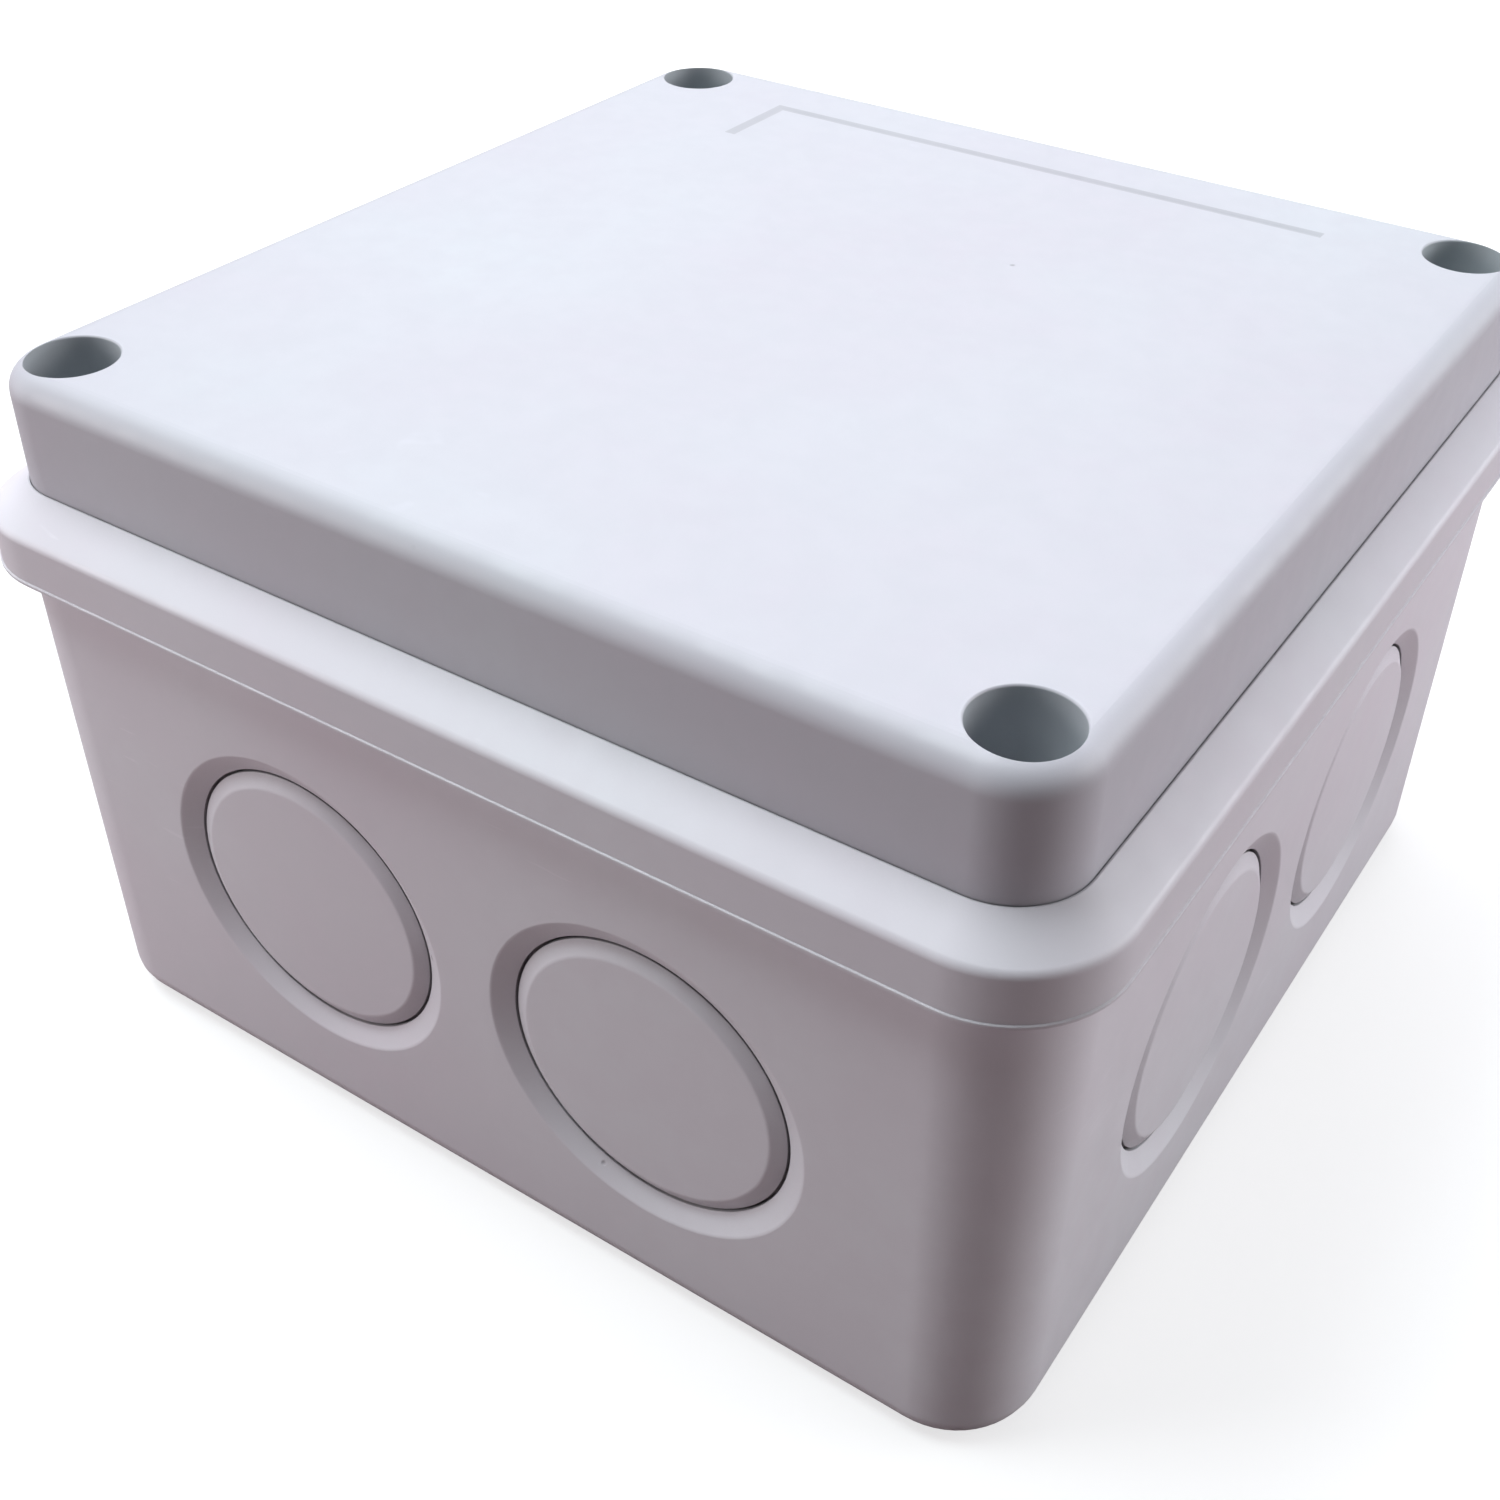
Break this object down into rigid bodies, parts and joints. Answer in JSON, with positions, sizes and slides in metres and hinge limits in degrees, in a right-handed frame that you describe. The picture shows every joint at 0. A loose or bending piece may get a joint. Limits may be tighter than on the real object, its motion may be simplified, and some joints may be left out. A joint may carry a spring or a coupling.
{
  "type": "electrical junction box",
  "caption": "Square surface-mounting junction box with knock-out cable entries, a raised screwed lid on a gasket, and an inner terminal block.",
  "frame": {"origin": "centre of the flat back face, which lies against the wall or table", "axes": "+Z out of the wall, through the lid; -Y the front side, +X the right side"},
  "size_m": [0.1076, 0.1076, 0.0675],
  "materials": {
    "housing_plastic": "satin moulded, fine texture",
    "lid_plastic": "satin moulded",
    "gasket_rubber": "matte",
    "washer_rubber": "matte",
    "nylon": "satin",
    "screw_steel": "zinc plated",
    "brass": "machined",
    "terminal_plastic": "satin moulded"
  },
  "bodies": {
    "base": {"base": "housing_plastic", "lid_gasket": "gasket_rubber", "threaded_inserts": "brass", "terminal_housing": "terminal_plastic", "terminal_fixing_screws": "screw_steel", "terminal_barrel_1": "brass", "terminal_barrel_2": "brass", "terminal_barrel_3": "brass", "terminal_barrel_4": "brass", "terminal_barrel_5": "brass"},
    "lid": {"lid": "lid_plastic", "retaining_rings": "nylon"},
    "screw_washer_front_left": {"screw_washer_front_left": "washer_rubber"},
    "lid_screw_front_left": {"lid_screw_front_left": "screw_steel"},
    "screw_washer_front_right": {"screw_washer_front_right": "washer_rubber"},
    "lid_screw_front_right": {"lid_screw_front_right": "screw_steel"},
    "screw_washer_back_right": {"screw_washer_back_right": "washer_rubber"},
    "lid_screw_back_right": {"lid_screw_back_right": "screw_steel"},
    "screw_washer_back_left": {"screw_washer_back_left": "washer_rubber"},
    "lid_screw_back_left": {"lid_screw_back_left": "screw_steel"},
    "knockout_front_a": {"knockout_front_a": "housing_plastic"},
    "knockout_front_b": {"knockout_front_b": "housing_plastic"},
    "knockout_right_a": {"knockout_right_a": "housing_plastic"},
    "knockout_right_b": {"knockout_right_b": "housing_plastic"},
    "knockout_back_a": {"knockout_back_a": "housing_plastic"},
    "knockout_back_b": {"knockout_back_b": "housing_plastic"},
    "knockout_left_a": {"knockout_left_a": "housing_plastic"},
    "knockout_left_b": {"knockout_left_b": "housing_plastic"},
    "clamp_screw_1_front": {"clamp_screw_1_front": "screw_steel"},
    "clamp_screw_1_back": {"clamp_screw_1_back": "screw_steel"},
    "clamp_screw_2_front": {"clamp_screw_2_front": "screw_steel"},
    "clamp_screw_2_back": {"clamp_screw_2_back": "screw_steel"},
    "clamp_screw_3_front": {"clamp_screw_3_front": "screw_steel"},
    "clamp_screw_3_back": {"clamp_screw_3_back": "screw_steel"},
    "clamp_screw_4_front": {"clamp_screw_4_front": "screw_steel"},
    "clamp_screw_4_back": {"clamp_screw_4_back": "screw_steel"},
    "clamp_screw_5_front": {"clamp_screw_5_front": "screw_steel"},
    "clamp_screw_5_back": {"clamp_screw_5_back": "screw_steel"}
  },
  "joints": [
    {"name": "lid_lift", "type": "slide", "parent": "base", "child": "lid", "axis": [0, 0, 1], "range_m": [0, 0.06]},
    {"name": "screw_rise_front_left", "type": "slide", "parent": "lid", "child": "screw_washer_front_left", "axis": [0, 0, 1], "range_m": [0, 0.009]},
    {"name": "screw_turn_front_left", "type": "hinge", "parent": "screw_washer_front_left", "child": "lid_screw_front_left", "pos_m": [-0.0444, -0.0444, 0.0585], "axis": [0, 0, 1], "range_deg": [0, 4629]},
    {"name": "screw_rise_front_right", "type": "slide", "parent": "lid", "child": "screw_washer_front_right", "axis": [0, 0, 1], "range_m": [0, 0.009]},
    {"name": "screw_turn_front_right", "type": "hinge", "parent": "screw_washer_front_right", "child": "lid_screw_front_right", "pos_m": [0.0444, -0.0444, 0.0585], "axis": [0, 0, 1], "range_deg": [0, 4629]},
    {"name": "screw_rise_back_right", "type": "slide", "parent": "lid", "child": "screw_washer_back_right", "axis": [0, 0, 1], "range_m": [0, 0.009]},
    {"name": "screw_turn_back_right", "type": "hinge", "parent": "screw_washer_back_right", "child": "lid_screw_back_right", "pos_m": [0.0444, 0.0444, 0.0585], "axis": [0, 0, 1], "range_deg": [0, 4629]},
    {"name": "screw_rise_back_left", "type": "slide", "parent": "lid", "child": "screw_washer_back_left", "axis": [0, 0, 1], "range_m": [0, 0.009]},
    {"name": "screw_turn_back_left", "type": "hinge", "parent": "screw_washer_back_left", "child": "lid_screw_back_left", "pos_m": [-0.0444, 0.0444, 0.0585], "axis": [0, 0, 1], "range_deg": [0, 4629]},
    {"name": "push_out_front_a", "type": "slide", "parent": "base", "child": "knockout_front_a", "axis": [0, -1, 0], "range_m": [0, 0.02]},
    {"name": "push_out_front_b", "type": "slide", "parent": "base", "child": "knockout_front_b", "axis": [0, -1, 0], "range_m": [0, 0.02]},
    {"name": "push_out_right_a", "type": "slide", "parent": "base", "child": "knockout_right_a", "axis": [1, 0, 0], "range_m": [0, 0.02]},
    {"name": "push_out_right_b", "type": "slide", "parent": "base", "child": "knockout_right_b", "axis": [1, 0, 0], "range_m": [0, 0.02]},
    {"name": "push_out_back_a", "type": "slide", "parent": "base", "child": "knockout_back_a", "axis": [0, 1, 0], "range_m": [0, 0.02]},
    {"name": "push_out_back_b", "type": "slide", "parent": "base", "child": "knockout_back_b", "axis": [0, 1, 0], "range_m": [0, 0.02]},
    {"name": "push_out_left_a", "type": "slide", "parent": "base", "child": "knockout_left_a", "axis": [-1, 0, 0], "range_m": [0, 0.02]},
    {"name": "push_out_left_b", "type": "slide", "parent": "base", "child": "knockout_left_b", "axis": [-1, 0, 0], "range_m": [0, 0.02]},
    {"name": "clamp_rise_1_front", "type": "slide", "parent": "base", "child": "clamp_screw_1_front", "axis": [0, 0, 1], "range_m": [0, 0.0032]},
    {"name": "clamp_rise_1_back", "type": "slide", "parent": "base", "child": "clamp_screw_1_back", "axis": [0, 0, 1], "range_m": [0, 0.0032]},
    {"name": "clamp_rise_2_front", "type": "slide", "parent": "base", "child": "clamp_screw_2_front", "axis": [0, 0, 1], "range_m": [0, 0.0032]},
    {"name": "clamp_rise_2_back", "type": "slide", "parent": "base", "child": "clamp_screw_2_back", "axis": [0, 0, 1], "range_m": [0, 0.0032]},
    {"name": "clamp_rise_3_front", "type": "slide", "parent": "base", "child": "clamp_screw_3_front", "axis": [0, 0, 1], "range_m": [0, 0.0032]},
    {"name": "clamp_rise_3_back", "type": "slide", "parent": "base", "child": "clamp_screw_3_back", "axis": [0, 0, 1], "range_m": [0, 0.0032]},
    {"name": "clamp_rise_4_front", "type": "slide", "parent": "base", "child": "clamp_screw_4_front", "axis": [0, 0, 1], "range_m": [0, 0.0032]},
    {"name": "clamp_rise_4_back", "type": "slide", "parent": "base", "child": "clamp_screw_4_back", "axis": [0, 0, 1], "range_m": [0, 0.0032]},
    {"name": "clamp_rise_5_front", "type": "slide", "parent": "base", "child": "clamp_screw_5_front", "axis": [0, 0, 1], "range_m": [0, 0.0032]},
    {"name": "clamp_rise_5_back", "type": "slide", "parent": "base", "child": "clamp_screw_5_back", "axis": [0, 0, 1], "range_m": [0, 0.0032]}
  ],
  "couplings": [
    {"joint": "screw_turn_front_left", "follows": "screw_rise_front_left", "rad_per_m": 8976},
    {"joint": "screw_turn_front_right", "follows": "screw_rise_front_right", "rad_per_m": 8976},
    {"joint": "screw_turn_back_right", "follows": "screw_rise_back_right", "rad_per_m": 8976},
    {"joint": "screw_turn_back_left", "follows": "screw_rise_back_left", "rad_per_m": 8976}
  ]
}
